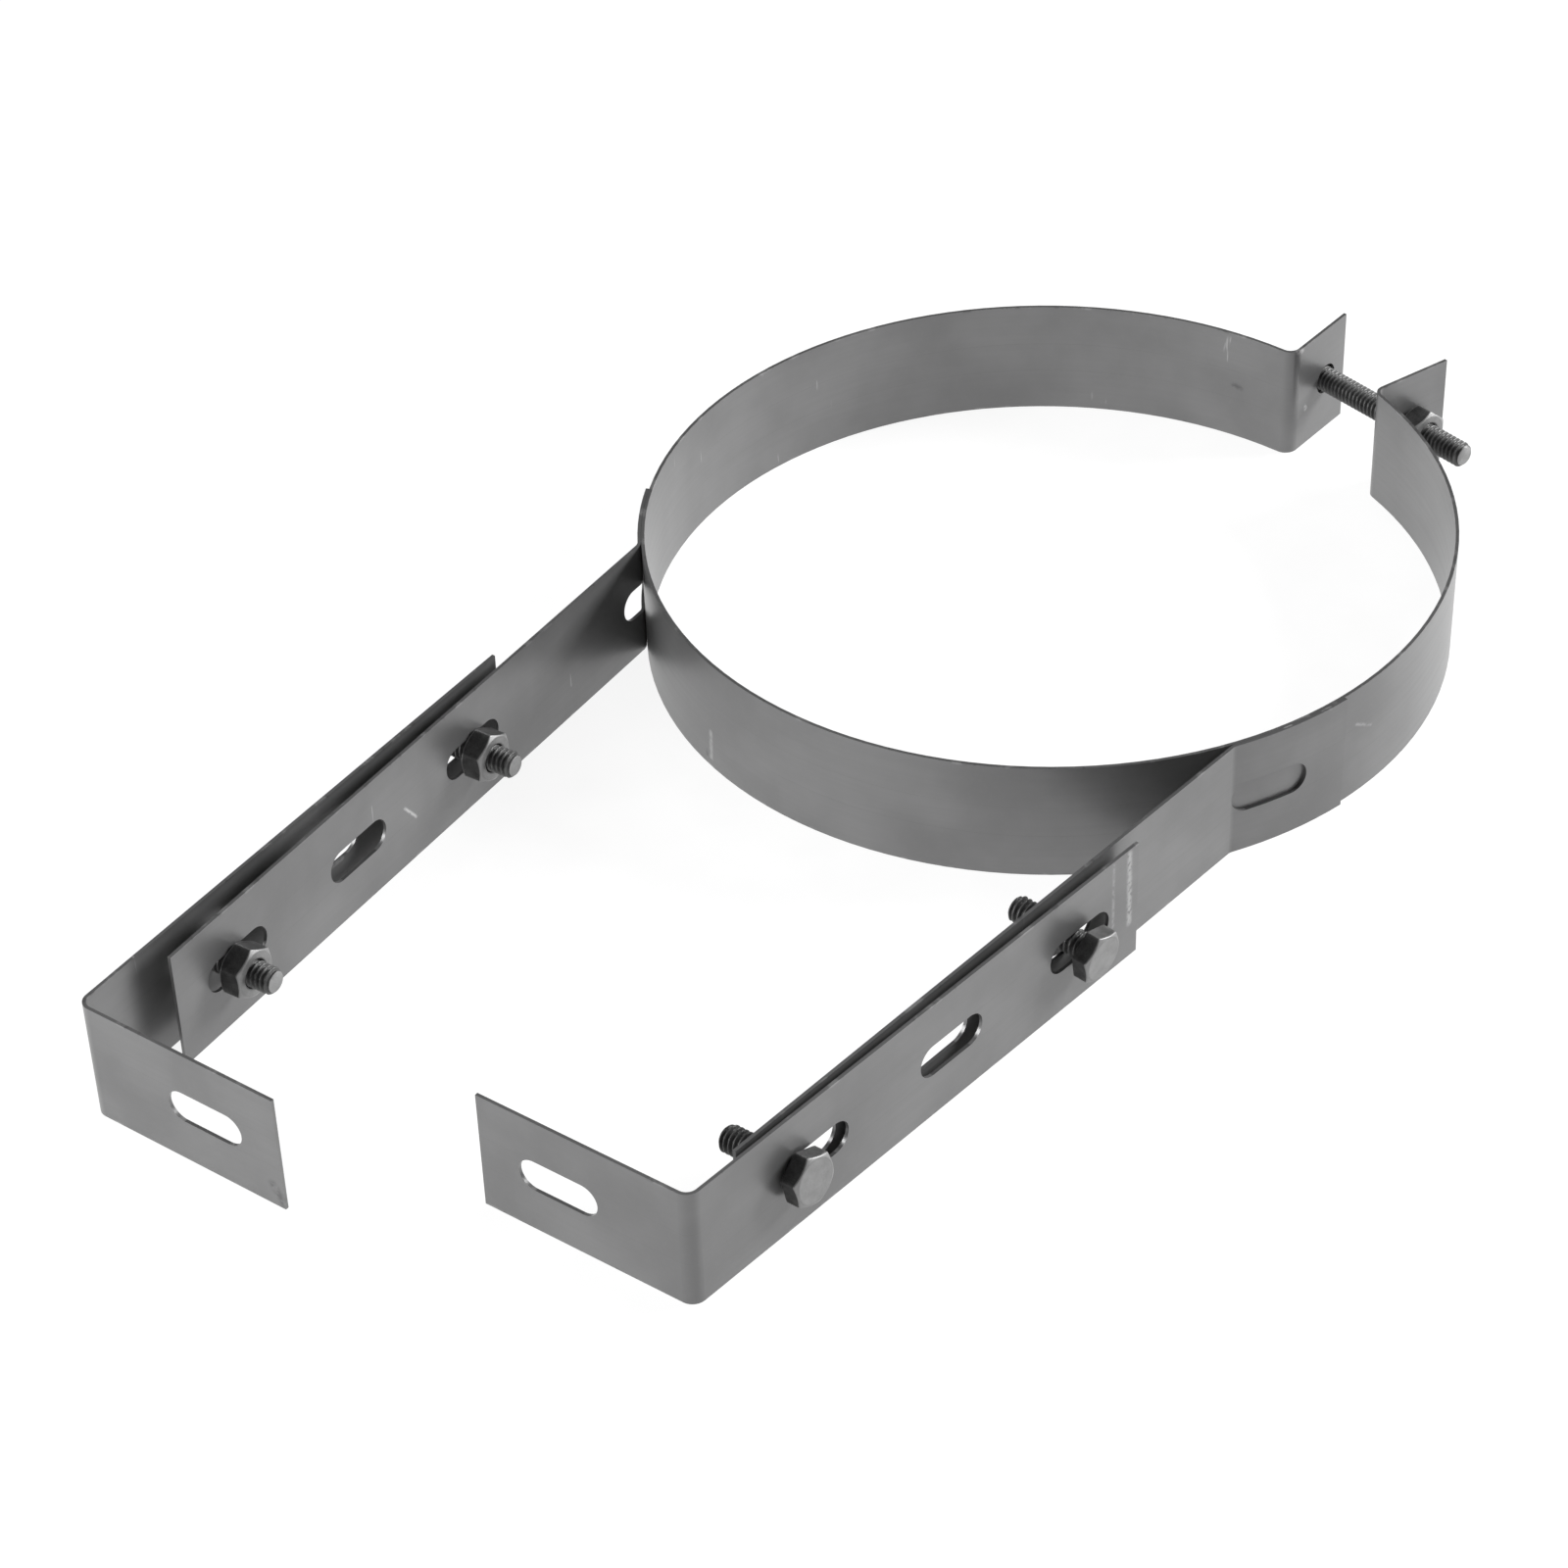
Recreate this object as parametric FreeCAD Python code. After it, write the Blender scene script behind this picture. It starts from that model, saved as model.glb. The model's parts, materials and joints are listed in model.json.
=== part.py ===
import FreeCAD, Part
import math
import os

# Millimetres, +Z up, +Y away from the wall, +X to the right seen from the wall.
# Origin on the axis of the ring, at the lower edges of the strips, on which the clamp lies.

# Sheet
strip_width = 30.0
sheet = 0.8
bend_inside_radius = 2.5

# Slots and holes
slot_length = 20.0
slot_width = 8.0
slot_pitch = 42.7
slot_from_end = 20.0
ear_hole_diameter = 8.0

# Band: round from the left ear to the end of the right arm's flap, then sprung a little open
band_inner_radius = 95.2
ring_start_angle = 84.55
opening_start_angle = 346.0
opening_turn = 78.3
opening_extra_radius = 3.6
left_ear_heading = 87.0
right_ear_heading = 70.5
ear_length = 20.8

# Arms: lean from +Y, and the flap that is welded to the band: where round the ring it starts, and its length
arm_developed_length = 198.0
ring_slot_from_end = 21.5
weld_gap = 0.05
left_arm_lean = -3.0
left_flap_angle = 218.88
left_flap_length = 22.5
right_arm_lean = 5.0
right_flap_angle = -31.38
right_flap_length = 30.6

# Wall brackets: length of the leg and of the foot from the sharp outer corner, lean of the leg from +Y,
# and where the leg's end lies: distance from the arm's wall end, and between the middles of the two strips
leg_length = 142.5
foot_length = 53.5
left_leg_lean = -1.75
left_leg_end = (121.21, 3.86)
right_leg_lean = 5.8
right_leg_end = (126.68, 3.75)

# Hardware, quarter inch
thread_diameter = 6.35
thread_clearance = 0.05
across_flats = 11.1
head_height = 4.1
nut_height = 5.6
hexagon_face_step = 0.1
nut_countersink = 0.4
tip_chamfer = 0.6
seat_gap = 0.05
clamp_bolt_length = 50.0
clamp_bolt_off_band = 14.5
clamp_bolt_angle = 75.4
adjuster_bolt_length = 20.0

# Loosely fitted adjuster bolts: distance from the arm's wall end, head off the bracket,
# nut off the arm, and droop of the tip in degrees
left_adjusters = {
    "left_lower": (18.9, 1.8, 0.1, 0.0),
    "left_upper": (106.1, 3.4, 0.1, 0.0),
}
right_adjusters = {
    "right_lower": (15.4, 0.3, 0.1, 4.5),
    "right_upper": (106.9, 1.5, 0.1, -4.5),
}

# Turn of each hexagon about its own axis
hexagon_turns = {
    "clamp_bolt": 35.0,
    "clamp_nut": 35.0,
    "left_lower": 3.0,
    "left_upper": 5.0,
    "right_lower": 45.0,
    "right_upper": 42.0,
}

middle_height = strip_width / 2
bend_radius = bend_inside_radius + sheet / 2
band_radius = band_inner_radius + sheet / 2
flap_radius = band_radius + sheet + weld_gap
clamp_bolt_radius = band_radius + clamp_bolt_off_band
cutter_depth = 4 * sheet


def direction(heading):
    return FreeCAD.Vector(math.cos(math.radians(heading)), math.sin(math.radians(heading)), 0)


def polar(radius, angle):
    return direction(angle) * radius


def advance(place, heading, length, turn):
    """Place and heading after a move along a strip's middle, straight or on an arc to the left if positive."""
    if turn == 0:
        return place + direction(heading) * length, heading
    radius = length / math.radians(turn)
    centre = place + direction(heading + 90) * radius
    return centre - direction(heading + turn + 90) * radius, heading + turn


def walk(path, distance):
    """Place and heading at a distance along a path, which is a start, a heading and a list of moves."""
    place, heading, moves = path
    for length, turn in moves:
        share = min(max(distance / length, 0), 1)
        place, heading = advance(place, heading, length * share, turn * share)
        distance -= length
    return place, heading


def stretch(path, start, end):
    """The part of a path between two distances along it."""
    place, heading = walk(path, start)
    moves = []
    passed = 0
    for length, turn in path[2]:
        kept = min(passed + length, end) - max(passed, start)
        if kept > 0:
            moves.append((kept, turn * kept / length))
        passed += length
    return place, heading, moves


def side_edges(path, offset):
    """Edges of the curve that runs beside a path, offset to its left."""
    place, heading, moves = path
    edges = []
    for length, turn in moves:
        halfway = advance(place, heading, length / 2, turn / 2)
        arrival = advance(place, heading, length, turn)
        points = []
        for spot, facing in ((place, heading), halfway, arrival):
            points.append(spot + direction(facing + 90) * offset)
        if turn == 0:
            edges.append(Part.makeLine(points[0], points[2]))
        else:
            edges.append(Part.Arc(*points).toShape())
        place, heading = arrival
    return edges


def bent_sheet(path, thickness, bottom, top):
    """A sheet that stands on edge and follows a path."""
    edges = side_edges(path, thickness / 2) + side_edges(path, -thickness / 2)
    for place, heading in (walk(path, 0), walk(path, path_length(path))):
        reach = direction(heading + 90) * (thickness / 2)
        edges.append(Part.makeLine(place - reach, place + reach))
    outline = Part.Wire(Part.__sortEdges__(edges))
    face = Part.Face(outline)
    face.translate(FreeCAD.Vector(0, 0, bottom))
    return face.extrude(FreeCAD.Vector(0, 0, top - bottom))


def path_length(path):
    return sum(length for length, turn in path[2])


def round_cutter(path, distance, diameter):
    """A cylinder square through the sheet at a distance along its path."""
    place, heading = walk(path, distance)
    across = direction(heading + 90)
    start = place - across * (cutter_depth / 2) + FreeCAD.Vector(0, 0, middle_height)
    return Part.makeCylinder(diameter / 2, cutter_depth, start, across)


def slot_cutter(path, centre):
    """A slot with round ends that follows the bends of the sheet."""
    reach = (slot_length - slot_width) / 2
    straight = stretch(path, centre - reach, centre + reach)
    lower_edge = middle_height - slot_width / 2
    cutter = bent_sheet(straight, cutter_depth, lower_edge, lower_edge + slot_width)
    for distance in (centre - reach, centre + reach):
        cutter = cutter.fuse(round_cutter(path, distance, slot_width))
    return cutter


def slotted_strip(path, slot_centres):
    strip = bent_sheet(path, sheet, 0, strip_width)
    for centre in slot_centres:
        strip = strip.cut(slot_cutter(path, centre))
    return strip


def band_path():
    """From the tip of the left ear, round the ring, to the tip of the right ear."""
    left_turn = ring_start_angle - left_ear_heading - 90
    right_turn = right_ear_heading - opening_start_angle + 360 - opening_turn - 90
    left_bend = bend_radius * math.radians(-left_turn)
    right_bend = bend_radius * math.radians(-right_turn)
    ring_turn = opening_start_angle - ring_start_angle
    opening_radius = band_radius + opening_extra_radius
    ring_start = polar(band_radius, ring_start_angle)
    ear_root, backward = advance(ring_start, ring_start_angle + 270, left_bend, -left_turn)
    left_tip = ear_root + direction(backward) * ear_length
    moves = [
        (ear_length, 0),
        (left_bend, left_turn),
        (band_radius * math.radians(ring_turn), ring_turn),
        (opening_radius * math.radians(opening_turn), opening_turn),
        (right_bend, right_turn),
        (ear_length, 0),
    ]
    return left_tip, left_ear_heading + 180, moves


def arm_path(lean, flap_angle, flap_length, side):
    """From the wall end, straight, through one bend, then round the band. Side is 1 right, -1 left."""
    heading = 90 - lean
    bend_turn = flap_angle + 90 * side - heading
    bend_length = bend_radius * math.radians(abs(bend_turn))
    straight_length = arm_developed_length - bend_length - flap_length
    flap_turn = math.degrees(flap_length / flap_radius) * side
    moves = [(straight_length, 0), (bend_length, bend_turn), (flap_length, flap_turn)]
    reach = walk((FreeCAD.Vector(0, 0, 0), heading, moves), straight_length + bend_length)[0]
    return polar(flap_radius, flap_angle) - reach, heading, moves


def bracket_path(arm, leg_end, lean, side):
    """From the free end of the foot, along the wall, through the bend, to the end of the leg by the arm."""
    leg_heading = 90 - lean
    foot_heading = 0 if side > 0 else 180
    turn = leg_heading - foot_heading
    setback = (bend_inside_radius + sheet) * math.tan(math.radians(abs(turn) / 2))
    bend = (bend_radius * math.radians(abs(turn)), turn)
    moves = [(foot_length - setback, 0), bend, (leg_length - setback, 0)]
    reach = walk((FreeCAD.Vector(0, 0, 0), foot_heading, moves), foot_length + leg_length)[0]
    arm_start, arm_heading = walk(arm, 0)
    along, apart = leg_end
    arrival = arm_start + direction(arm_heading) * along + direction(arm_heading - 90 * side) * apart
    return arrival - reach, foot_heading, moves


def bracket_slots(path):
    """One slot in the foot and three in the leg."""
    leg_end = path_length(path) - slot_from_end
    return [slot_from_end] + [leg_end - number * slot_pitch for number in range(3)]


def arm_slots():
    """Three slots from the wall end and one at the band."""
    near_wall = [slot_from_end + number * slot_pitch for number in range(3)]
    return near_wall + [arm_developed_length - ring_slot_from_end]


def hexagon(height):
    """A hexagon on its axis from zero up, with its outer corners turned off at both faces."""
    corner_radius = across_flats / math.sqrt(3)
    corners = [polar(corner_radius, 60 * number) for number in range(7)]
    prism = Part.Face(Part.makePolygon(corners)).extrude(FreeCAD.Vector(0, 0, height))
    flat_radius = across_flats / 2 - hexagon_face_step
    slope = (corner_radius - flat_radius) * math.tan(math.radians(30))
    profile = [(0, 0), (flat_radius, 0), (corner_radius, slope), (corner_radius, height - slope),
               (flat_radius, height), (0, height), (0, 0)]
    return prism.common(turned(profile))


def turned(profile):
    """A solid of revolution about Z from pairs of radius and height."""
    wire = Part.makePolygon([FreeCAD.Vector(radius, 0, height) for radius, height in profile])
    return Part.Face(wire).revolve(FreeCAD.Vector(0, 0, 0), FreeCAD.Vector(0, 0, 1), 360)


def bolt(length):
    """A fully threaded bolt with its head below zero. The thread itself is finer than this solid shows."""
    radius = thread_diameter / 2
    head = hexagon(head_height)
    head.translate(FreeCAD.Vector(0, 0, -head_height))
    profile = [(0, -head_height / 2), (radius, -head_height / 2), (radius, length - tip_chamfer),
               (radius - tip_chamfer, length), (0, length), (0, -head_height / 2)]
    return head.fuse(turned(profile)).removeSplitter()


def nut():
    """A nut from zero up, with its hole countersunk at both faces."""
    radius = thread_diameter / 2 + thread_clearance
    mouth = radius + nut_countersink
    profile = [(0, 0), (mouth, 0), (radius, mouth - radius), (radius, nut_height - mouth + radius),
               (mouth, nut_height), (0, nut_height), (0, 0)]
    return hexagon(nut_height).cut(turned(profile))


def placed(shape, place, axis, hexagon_turn):
    """Stand a shape's Z on an axis, with its origin at a place."""
    spin = FreeCAD.Rotation(FreeCAD.Vector(0, 0, 1), hexagon_turn)
    swing = FreeCAD.Rotation(FreeCAD.Vector(0, 0, 1), axis)
    shape.Placement = FreeCAD.Placement(place, swing.multiply(spin))
    return shape


def along_to_line(place, axis, line_point, line_heading):
    """Distance from a place along an axis to a straight line in plan."""
    line = direction(line_heading)
    offset = line_point - place
    return (offset.x * line.y - offset.y * line.x) / (axis.x * line.y - axis.y * line.x)


def tilt_reach(angle):
    """How far a hexagon's seat must stand off a face that is out of square with its axis."""
    return across_flats / math.sqrt(3) * math.tan(math.radians(abs(angle))) + seat_gap


def adjuster_axis(arm, bracket, settings, side):
    """Seats of one adjuster's head and nut, and its axis from head to tip. It lies on the slots' floors."""
    distance, head_off, nut_off, droop = settings
    place, heading = walk(arm, distance)
    inward = direction(heading + 90 * side)
    leg_point, leg_heading = walk(bracket, path_length(bracket))
    bracket_face = along_to_line(place, inward, leg_point, leg_heading) - sheet / 2
    arm_face = sheet / 2
    tilt = abs(droop) + abs(leg_heading - heading)
    head_seat = bracket_face - head_off - tilt_reach(tilt)
    nut_seat = arm_face + nut_off + tilt_reach(droop)
    lean = math.radians(droop)
    resting_place = arm_face if droop > 0 else bracket_face
    slot_floor = middle_height - slot_width / 2
    resting_height = slot_floor + (thread_diameter / 2 + thread_clearance) / math.cos(lean)
    seats = []
    for reach in (head_seat, nut_seat):
        height = resting_height - (reach - resting_place) * math.tan(lean)
        seats.append(place + inward * reach + FreeCAD.Vector(0, 0, height))
    return seats[0], seats[1], inward * math.cos(lean) - FreeCAD.Vector(0, 0, math.sin(lean))


def adjuster(name, arm, bracket, settings, side):
    """One bolt through bracket and arm, head outside the bracket, nut inside the arm."""
    head_seat, nut_seat, axis = adjuster_axis(arm, bracket, settings, side)
    turn = hexagon_turns[name]
    return {
        name + "_bolt": placed(bolt(adjuster_bolt_length), head_seat, axis, turn),
        name + "_nut": placed(nut(), nut_seat, axis, turn),
    }


def clamp_axis():
    """A point on the clamp bolt's axis and its direction from head to tip."""
    centre = polar(clamp_bolt_radius, clamp_bolt_angle) + FreeCAD.Vector(0, 0, middle_height)
    return centre, direction(clamp_bolt_angle - 90)


def ear_crossing(tip, heading):
    """Distance from the clamp axis point along the axis to the middle of an ear."""
    centre, axis = clamp_axis()
    return along_to_line(centre, axis, tip, heading)


def clamp_screw():
    """The long bolt through both ears, and its nut."""
    centre, axis = clamp_axis()
    path = band_path()
    seats = []
    for outward, (tip, heading) in ((-1, walk(path, 0)), (1, walk(path, path_length(path)))):
        out_of_square = math.fmod(heading - clamp_bolt_angle + 540, 180)
        out_of_square = min(out_of_square, 180 - out_of_square)
        ear_face = sheet / 2 / math.cos(math.radians(out_of_square))
        stand_off = outward * (ear_face + tilt_reach(out_of_square))
        seats.append(centre + axis * (ear_crossing(tip, heading) + stand_off))
    return {
        "clamp_bolt": placed(bolt(clamp_bolt_length), seats[0], axis, hexagon_turns["clamp_bolt"]),
        "clamp_nut": placed(nut(), seats[1], axis, hexagon_turns["clamp_nut"]),
    }


def band():
    """The ring with its two ears, each with a hole where the clamp bolt crosses it."""
    path = band_path()
    centre, axis = clamp_axis()
    ring = bent_sheet(path, sheet, 0, strip_width)
    for tip, heading in (walk(path, 0), walk(path, path_length(path))):
        crossing = centre + axis * ear_crossing(tip, heading)
        across = direction(heading + 90)
        start = crossing - across * (cutter_depth / 2)
        ring = ring.cut(Part.makeCylinder(ear_hole_diameter / 2, cutter_depth, start, across))
    return ring


def clamp_pieces():
    left_arm = arm_path(left_arm_lean, left_flap_angle, left_flap_length, -1)
    right_arm = arm_path(right_arm_lean, right_flap_angle, right_flap_length, 1)
    left_bracket = bracket_path(left_arm, left_leg_end, left_leg_lean, -1)
    right_bracket = bracket_path(right_arm, right_leg_end, right_leg_lean, 1)
    pieces = {
        "band": band(),
        "left_arm": slotted_strip(left_arm, arm_slots()),
        "right_arm": slotted_strip(right_arm, arm_slots()),
        "left_wall_bracket": slotted_strip(left_bracket, bracket_slots(left_bracket)),
        "right_wall_bracket": slotted_strip(right_bracket, bracket_slots(right_bracket)),
    }
    for name, settings in left_adjusters.items():
        pieces.update(adjuster(name, left_arm, left_bracket, settings, -1))
    for name, settings in right_adjusters.items():
        pieces.update(adjuster(name, right_arm, right_bracket, settings, 1))
    pieces.update(clamp_screw())
    return pieces


os.makedirs("parts", exist_ok=True)
for node, shape in clamp_pieces().items():
    shape.exportStep("parts/" + node + ".step")
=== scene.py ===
import json
import math

import bpy
import numpy as np
from bpy.props import FloatProperty, FloatVectorProperty, IntProperty, PointerProperty
from mathutils import Matrix, Vector


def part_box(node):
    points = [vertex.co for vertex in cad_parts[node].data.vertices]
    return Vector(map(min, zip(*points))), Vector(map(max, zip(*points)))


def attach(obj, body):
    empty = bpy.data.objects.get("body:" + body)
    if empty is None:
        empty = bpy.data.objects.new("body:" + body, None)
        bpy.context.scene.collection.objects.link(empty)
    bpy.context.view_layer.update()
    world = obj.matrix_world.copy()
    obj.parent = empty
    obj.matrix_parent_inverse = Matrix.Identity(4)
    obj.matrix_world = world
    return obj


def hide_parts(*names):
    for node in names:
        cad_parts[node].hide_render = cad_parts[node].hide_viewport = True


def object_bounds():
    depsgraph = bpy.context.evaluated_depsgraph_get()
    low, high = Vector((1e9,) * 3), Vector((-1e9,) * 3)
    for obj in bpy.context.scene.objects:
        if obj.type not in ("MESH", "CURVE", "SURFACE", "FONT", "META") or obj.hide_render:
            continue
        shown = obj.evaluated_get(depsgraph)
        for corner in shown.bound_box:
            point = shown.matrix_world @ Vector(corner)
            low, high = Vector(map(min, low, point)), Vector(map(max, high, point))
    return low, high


bl_info = {
    "name": "Chimney Liner Clamp",
    "version": (1, 0, 0),
    "blender": (4, 5, 0),
    "location": "3D View > Sidebar > Liner Clamp",
    "description": "Finishes the clamp's strips, threads its bolts and nuts and sets up the studio",
    "category": "Object",
}

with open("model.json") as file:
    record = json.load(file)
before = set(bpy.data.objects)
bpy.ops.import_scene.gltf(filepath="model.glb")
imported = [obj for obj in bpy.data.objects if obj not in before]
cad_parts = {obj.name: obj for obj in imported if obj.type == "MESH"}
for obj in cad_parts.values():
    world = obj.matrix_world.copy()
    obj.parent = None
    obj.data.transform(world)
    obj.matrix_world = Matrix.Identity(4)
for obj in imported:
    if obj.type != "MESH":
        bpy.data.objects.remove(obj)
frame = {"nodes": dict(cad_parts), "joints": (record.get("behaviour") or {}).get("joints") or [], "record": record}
cad_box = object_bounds()

MM = 0.001
WHITE = (1.0, 1.0, 1.0)

# Strips, with the small marks on each: from one place to another in millimetres, radius in millimetres,
# and strength, positive for a lighter spot and negative where the paint is soiled. The right wall bracket's
# two lines are painted highlights down the lit cut end of its leg
STRIP_MARKS = {
    "band": (
        ((-4.6, 95.2, 15.0), (-2.8, 95.2, 14.6), 1.3, -0.8),
        ((12.8, 101.4, 11.5), (12.8, 101.4, 10.8), 1.1, 0.9),
        ((12.4, 96.9, 29.8), (12.9, 98.5, 29.4), 1.2, 0.7),
        ((-35.0, -89.4, 3.4), (-35.0, -89.4, 2.2), 0.9, -0.8),
        ((-33.1, -90.1, 10.0), (-33.4, -90.0, 2.4), 1.1, 0.5),
        ((94.4, -17.3, 19.9), (95.3, -11.8, 16.8), 0.7, 0.35),
    ),
    "left_arm": (
        ((-69.1, -156.2, 15.6), (-69.3, -152.4, 10.6), 0.6, 1.0),
    ),
    "right_arm": (
        ((87.6, -38.9, 30.0), (88.3, -37.4, 30.0), 0.9, 0.9),
        ((91.6, -28.6, 30.0), (92.3, -26.8, 29.6), 1.0, 0.6),
    ),
    "left_wall_bracket": (
        ((-20.8, -257.3, 5.6), (-18.4, -257.3, 1.4), 2.0, -0.8),
        ((-73.3, -176.5, 10.7), (-73.4, -173.0, 10.6), 0.8, 0.5),
    ),
    # Painted highlights: two light lines down the lit cut end of the leg
    "right_wall_bracket": (
        ((82.3, -94.2, 28.8), (82.4, -93.8, 9.5), 1.4, 0.6),
        ((81.6, -99.6, 29.0), (81.8, -99.5, 12.0), 0.8, 0.3),
    ),
}

# How light each part of a bolt or nut is, from 0 for dull black to 1 for bare steel: rubbed wear on crests,
# edges, corners and tip, painted light on the faces and painted shade on the hexagons' sides
ROOT_POLISH = 0.06
CREST_POLISH = 0.16
# Painted shade on the hexagons' sides
SIDE_PAINTED_SHADE = 0.06
CORNER_POLISH = 0.16
# Painted light on the hexagons' faces
FACE_PAINTED_LIGHT = 0.52
EDGE_POLISH = 0.46
TIP_POLISH = 0.56

# The same for the flats and the edges of a profile, from the middle of the head's face to the shank,
# and from one face of the nut round to the other and into the bore; the faces get painted light and the sides
# painted shade
HEAD_FLATS = (FACE_PAINTED_LIGHT, FACE_PAINTED_LIGHT, SIDE_PAINTED_SHADE, SIDE_PAINTED_SHADE, ROOT_POLISH)
HEAD_EDGES = (EDGE_POLISH, EDGE_POLISH, SIDE_PAINTED_SHADE, ROOT_POLISH)
NUT_FLATS = (FACE_PAINTED_LIGHT, FACE_PAINTED_LIGHT, SIDE_PAINTED_SHADE, FACE_PAINTED_LIGHT, FACE_PAINTED_LIGHT, ROOT_POLISH)
NUT_EDGES = (EDGE_POLISH, EDGE_POLISH, EDGE_POLISH, EDGE_POLISH, EDGE_POLISH)

# A rounded corner of a profile: steps in its curve, the largest share of a flat that its curve may take, and
# how far past the curve the flat's own row lies, as a share of the curve's reach
ROUNDING_STEPS = 4
CURVE_LIMIT = 0.4
FLAT_ROW_STEP = 0.12

# Hexagons: the power that crowds the columns towards the corners, the slant of the cone that trims them,
# the innermost row of a head as a share of its face, where the corners start to look rubbed and how much
# further out they are fully so, both as shares of a sharp corner's radius, and from which angle on an edge
# is sharp
COLUMN_CROWDING = 1.7
CONE_SLANT = math.radians(30)
INNER_ROW_SHARE = 0.02
CORNER_RUB_START = 0.93
CORNER_RUB_SPAN = 0.05
EDGE_ANGLE = math.radians(50)

# Threads: widths of the flat root and the flat crest as shares of the pitch, and the depth of a nut's thread
# as a share of the bolt's
ROOT_SHARE = 0.25
CREST_SHARE = 0.125
NUT_DEPTH_SHARE = 0.6

# The joint that gives each bolt and nut its axis
SCREW_JOINTS = {
    "clamp": "clamp_nut_along_thread",
    "left_lower": "left_lower_nut_along_thread",
    "left_upper": "left_upper_nut_along_thread",
    "right_lower": "right_lower_nut_along_thread",
    "right_upper": "right_upper_nut_along_thread",
}


def screws(kind):
    """The CAD nodes of all bolts, or of all nuts, with the axis of each."""
    joints = {joint["name"]: joint for joint in frame["joints"]}
    found = []
    for name, joint in SCREW_JOINTS.items():
        axis = np.array(joints[joint]["axis"], float)
        found.append((name + "_" + kind, axis / np.linalg.norm(axis)))
    return found


def body_of(node):
    """The CAD body that a node rides on."""
    groups = frame["record"]["behaviour"]["bodies"]
    return next(body for body, members in groups.items() if node in members)


def slot_of(node):
    """The material slot that the record gives a node."""
    return next(part["material_slot"] for part in frame["record"]["subparts"] if part["node"] == node)


def node_points(node):
    """A CAD node's points, one row each, in metres."""
    mesh = frame["nodes"][node].data
    points = np.empty(len(mesh.vertices) * 3, np.float32)
    mesh.vertices.foreach_get("co", points)
    return points.reshape(-1, 3).astype(float)


def stance(node, axis):
    """Where a bolt or nut stands, as a 4 x 4 matrix, and its length. Z is its axis, X goes through a corner
    of its hexagon and the origin is its lowest point. A hexagon is alike on both sides, so the axis
    runs midway between the outermost points on either side."""
    points = node_points(node)
    side = np.cross(axis, (0, 0, 1))
    side /= np.linalg.norm(side)
    rise = np.cross(side, axis)
    middle = np.zeros(3)
    for sideways in (side, rise):
        reach = points @ sideways
        middle += sideways * (reach.min() + reach.max()) / 2
    along = points @ axis
    spread = points - middle - np.outer(along, axis)
    corner = spread[np.argmax(np.linalg.norm(spread, axis=1))]
    corner /= np.linalg.norm(corner)
    matrix = np.eye(4)
    matrix[:3, 0] = corner
    matrix[:3, 1] = np.cross(axis, corner)
    matrix[:3, 2] = axis
    matrix[:3, 3] = middle + axis * along.min()
    return matrix, along.max() - along.min()


def hexagon_columns(per_side):
    """Angles round a hexagon, closer together towards its corners: in each sixth the angle from
    the corner is 30 degrees times the share of the way to the middle of the flat, raised to a power."""
    share = np.arange(-per_side // 2, per_side // 2) / (per_side // 2)
    sixth = np.sign(share) * np.abs(share) ** COLUMN_CROWDING * math.pi / 6
    return (sixth + np.arange(6)[:, None] * math.pi / 3).ravel()


def hexagon_radius(angle, across_flats, sharpness):
    """Radius of a hexagon with rounded corners. It is half the width across flats, divided by the
    power mean of the cosines of the angles to the six flats, so a higher power is a sharper corner."""
    to_flats = angle[:, None] - (np.arange(6) + 0.5) * math.pi / 3
    facing = np.clip(np.cos(to_flats), 0, None)
    return across_flats / 2 / (facing ** sharpness).sum(1) ** (1 / sharpness)


def rounded(corners, radius):
    """Rows that follow a profile with its corners rounded. Corners is corner x column x (radius, height).
    Each inner corner becomes a quadratic curve that starts and ends one radius from it, or nearer where
    the next corner is close, and each flat gets a row near both of its ends."""
    rows = [corners[0]]
    for before, here, after in zip(corners[:-2], corners[1:-1], corners[2:]):
        back, forth = before - here, after - here
        ends = []
        for way in (back, forth):
            length = np.linalg.norm(way, axis=1, keepdims=True)
            ends.append(here + way / length * np.minimum(radius, CURVE_LIMIT * length))
        rows.append(ends[0] + FLAT_ROW_STEP * (ends[0] - here))
        for share in np.linspace(0, 1, ROUNDING_STEPS + 1):
            rows.append((1 - share) ** 2 * ends[0] + 2 * share * (1 - share) * here + share ** 2 * ends[1])
        rows.append(ends[1] + FLAT_ROW_STEP * (ends[1] - here))
    rows.append(corners[-1])
    return np.stack(rows)


def thread_height(angle, along, pitch):
    """Height of a right-hand thread from 0 in its root to 1 on its crest. The crest winds once round
    the axis per pitch. Root and crest are flat, and each flank is a smooth step between the two."""
    phase = (along / pitch - angle / (2 * math.pi)) % 1
    from_root = np.abs(phase - 0.5) * 2
    slope = np.clip((from_root - ROOT_SHARE) / (1 - ROOT_SHARE - CREST_SHARE), 0, 1)
    return slope * slope * (3 - 2 * slope)


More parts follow.
